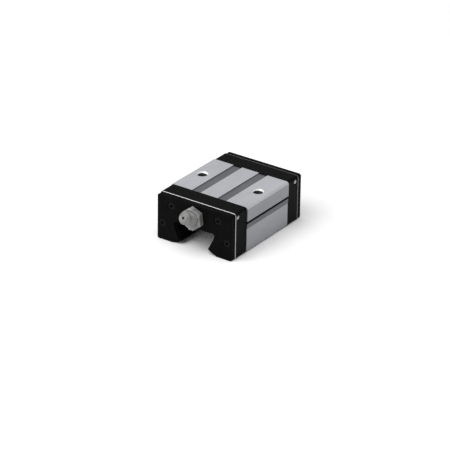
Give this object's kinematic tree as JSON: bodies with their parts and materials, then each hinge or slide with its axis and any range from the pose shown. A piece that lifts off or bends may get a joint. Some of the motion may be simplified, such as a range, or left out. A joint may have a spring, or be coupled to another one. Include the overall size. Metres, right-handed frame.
{
  "type": "linear guide carriage",
  "caption": "Compact linear guide carriage: ground steel block with tapped top holes, end caps, seals, recirculating balls and a grease nipple.",
  "frame": {"origin": "centre of the ground mounting face, midway between the two tapped holes", "axes": "+Z out of the mounting face, +Y along the rail away from the grease nipple, +X across the block"},
  "size_m": [0.048, 0.0737, 0.0257],
  "materials": {
    "ground_steel": "fine ground",
    "cap_plastic": "satin moulded",
    "plate_steel": "rolled, bevelled edge",
    "seal_rubber": "smooth moulded rubber",
    "retainer_plastic": "moulded",
    "black_screw": "black oxide",
    "plug_steel": "machined",
    "nipple_zinc": "dull zinc plate",
    "ball_steel": "polished"
  },
  "bodies": {
    "housing": {"carriage_block": "ground_steel", "end_cap_front": "cap_plastic", "end_cap_rear": "cap_plastic", "backing_plate_front": "plate_steel", "backing_plate_rear": "plate_steel", "end_seal_front": "seal_rubber", "end_seal_rear": "seal_rubber", "upper_retainer_left": "retainer_plastic", "upper_retainer_right": "retainer_plastic", "middle_retainer_left": "retainer_plastic", "middle_retainer_right": "retainer_plastic", "lower_retainer_left": "retainer_plastic", "lower_retainer_right": "retainer_plastic", "bottom_seal_left": "seal_rubber", "bottom_seal_right": "seal_rubber", "return_tube_upper_left": "retainer_plastic", "return_tube_upper_right": "retainer_plastic", "return_tube_lower_left": "retainer_plastic", "return_tube_lower_right": "retainer_plastic", "return_guide_front_upper_left": "retainer_plastic", "return_guide_front_upper_right": "retainer_plastic", "return_guide_front_lower_left": "retainer_plastic", "return_guide_front_lower_right": "retainer_plastic", "return_guide_rear_upper_left": "retainer_plastic", "return_guide_rear_upper_right": "retainer_plastic", "return_guide_rear_lower_left": "retainer_plastic", "return_guide_rear_lower_right": "retainer_plastic", "cap_screws_front": "black_screw", "cap_screws_rear": "black_screw", "side_plugs_front": "plug_steel", "side_plugs_rear": "plug_steel", "rear_port_plug": "black_screw", "nipple_body": "nipple_zinc", "nipple_spring": "ball_steel"},
    "load_row_upper_left": {"load_balls_upper_left": "ball_steel"},
    "load_row_upper_right": {"load_balls_upper_right": "ball_steel"},
    "load_row_lower_left": {"load_balls_lower_left": "ball_steel"},
    "load_row_lower_right": {"load_balls_lower_right": "ball_steel"},
    "return_row_upper_left": {"return_balls_upper_left": "ball_steel"},
    "return_row_upper_right": {"return_balls_upper_right": "ball_steel"},
    "return_row_lower_left": {"return_balls_lower_left": "ball_steel"},
    "return_row_lower_right": {"return_balls_lower_right": "ball_steel"},
    "turn_front_upper_left": {"turn_balls_front_upper_left": "ball_steel"},
    "turn_front_upper_right": {"turn_balls_front_upper_right": "ball_steel"},
    "turn_front_lower_left": {"turn_balls_front_lower_left": "ball_steel"},
    "turn_front_lower_right": {"turn_balls_front_lower_right": "ball_steel"},
    "turn_rear_upper_left": {"turn_balls_rear_upper_left": "ball_steel"},
    "turn_rear_upper_right": {"turn_balls_rear_upper_right": "ball_steel"},
    "turn_rear_lower_left": {"turn_balls_rear_lower_left": "ball_steel"},
    "turn_rear_lower_right": {"turn_balls_rear_lower_right": "ball_steel"},
    "check_ball": {"nipple_check_ball": "ball_steel"}
  },
  "joints": [
    {"name": "load_slide_upper_right", "type": "slide", "parent": "housing", "child": "load_row_upper_right", "axis": [0, 1, 0], "range_m": [-0.0021, 0.0021]},
    {"name": "load_slide_upper_left", "type": "slide", "parent": "housing", "child": "load_row_upper_left", "axis": [0, 1, 0], "range_m": [-0.0021, 0.0021]},
    {"name": "load_slide_lower_left", "type": "slide", "parent": "housing", "child": "load_row_lower_left", "axis": [0, 1, 0], "range_m": [-0.0021, 0.0021]},
    {"name": "load_slide_lower_right", "type": "slide", "parent": "housing", "child": "load_row_lower_right", "axis": [0, 1, 0], "range_m": [-0.0021, 0.0021]},
    {"name": "return_slide_upper_left", "type": "slide", "parent": "housing", "child": "return_row_upper_left", "axis": [0, 1, 0], "range_m": [-0.0021, 0.0021]},
    {"name": "return_slide_upper_right", "type": "slide", "parent": "housing", "child": "return_row_upper_right", "axis": [0, 1, 0], "range_m": [-0.0021, 0.0021]},
    {"name": "return_slide_lower_left", "type": "slide", "parent": "housing", "child": "return_row_lower_left", "axis": [0, 1, 0], "range_m": [-0.0021, 0.0021]},
    {"name": "return_slide_lower_right", "type": "slide", "parent": "housing", "child": "return_row_lower_right", "axis": [0, 1, 0], "range_m": [-0.0021, 0.0021]},
    {"name": "turn_front_upper_left_hinge", "type": "hinge", "parent": "housing", "child": "turn_front_upper_left", "pos_m": [-0.01588, -0.01894, -0.01419], "axis": [0.5, 0, 0.866], "range_deg": [-29.98, 29.98]},
    {"name": "turn_front_upper_right_hinge", "type": "hinge", "parent": "housing", "child": "turn_front_upper_right", "pos_m": [0.01588, -0.01894, -0.01419], "axis": [0.5, 0, -0.866], "range_deg": [-29.98, 29.98]},
    {"name": "turn_front_lower_left_hinge", "type": "hinge", "parent": "housing", "child": "turn_front_lower_left", "pos_m": [-0.01442, -0.01894, -0.02075], "axis": [0.0373, 0, 0.9993], "range_deg": [-29.98, 29.98]},
    {"name": "turn_front_lower_right_hinge", "type": "hinge", "parent": "housing", "child": "turn_front_lower_right", "pos_m": [0.01442, -0.01894, -0.02075], "axis": [0.0373, 0, -0.9993], "range_deg": [-29.98, 29.98]},
    {"name": "turn_rear_upper_left_hinge", "type": "hinge", "parent": "housing", "child": "turn_rear_upper_left", "pos_m": [-0.01588, 0.01894, -0.01419], "axis": [0.5, 0, 0.866], "range_deg": [-29.98, 29.98]},
    {"name": "turn_rear_upper_right_hinge", "type": "hinge", "parent": "housing", "child": "turn_rear_upper_right", "pos_m": [0.01588, 0.01894, -0.01419], "axis": [0.5, 0, -0.866], "range_deg": [-29.98, 29.98]},
    {"name": "turn_rear_lower_left_hinge", "type": "hinge", "parent": "housing", "child": "turn_rear_lower_left", "pos_m": [-0.01442, 0.01894, -0.02075], "axis": [0.0373, 0, 0.9993], "range_deg": [-29.98, 29.98]},
    {"name": "turn_rear_lower_right_hinge", "type": "hinge", "parent": "housing", "child": "turn_rear_lower_right", "pos_m": [0.01442, 0.01894, -0.02075], "axis": [0.0373, 0, -0.9993], "range_deg": [-29.98, 29.98]},
    {"name": "check_ball_slide", "type": "slide", "parent": "housing", "child": "check_ball", "axis": [0, 0.9063, -0.4226], "range_m": [0, 0.0006], "stiffness_N_per_m": 150, "springref_m": -0.0004, "deforming": ["nipple_spring"]}
  ],
  "couplings": [
    {"joint": "load_slide_upper_left", "follows": "load_slide_upper_right", "ratio": 1},
    {"joint": "load_slide_lower_left", "follows": "load_slide_upper_right", "ratio": 1},
    {"joint": "load_slide_lower_right", "follows": "load_slide_upper_right", "ratio": 1},
    {"joint": "return_slide_upper_left", "follows": "load_slide_upper_right", "ratio": -1},
    {"joint": "return_slide_upper_right", "follows": "load_slide_upper_right", "ratio": -1},
    {"joint": "return_slide_lower_left", "follows": "load_slide_upper_right", "ratio": -1},
    {"joint": "return_slide_lower_right", "follows": "load_slide_upper_right", "ratio": -1},
    {"joint": "turn_front_upper_left_hinge", "follows": "load_slide_upper_right", "rad_per_m": 248.76},
    {"joint": "turn_front_upper_right_hinge", "follows": "load_slide_upper_right", "rad_per_m": 248.76},
    {"joint": "turn_front_lower_left_hinge", "follows": "load_slide_upper_right", "rad_per_m": 248.76},
    {"joint": "turn_front_lower_right_hinge", "follows": "load_slide_upper_right", "rad_per_m": 248.76},
    {"joint": "turn_rear_upper_left_hinge", "follows": "load_slide_upper_right", "rad_per_m": 248.76},
    {"joint": "turn_rear_upper_right_hinge", "follows": "load_slide_upper_right", "rad_per_m": 248.76},
    {"joint": "turn_rear_lower_left_hinge", "follows": "load_slide_upper_right", "rad_per_m": 248.76},
    {"joint": "turn_rear_lower_right_hinge", "follows": "load_slide_upper_right", "rad_per_m": 248.76}
  ]
}
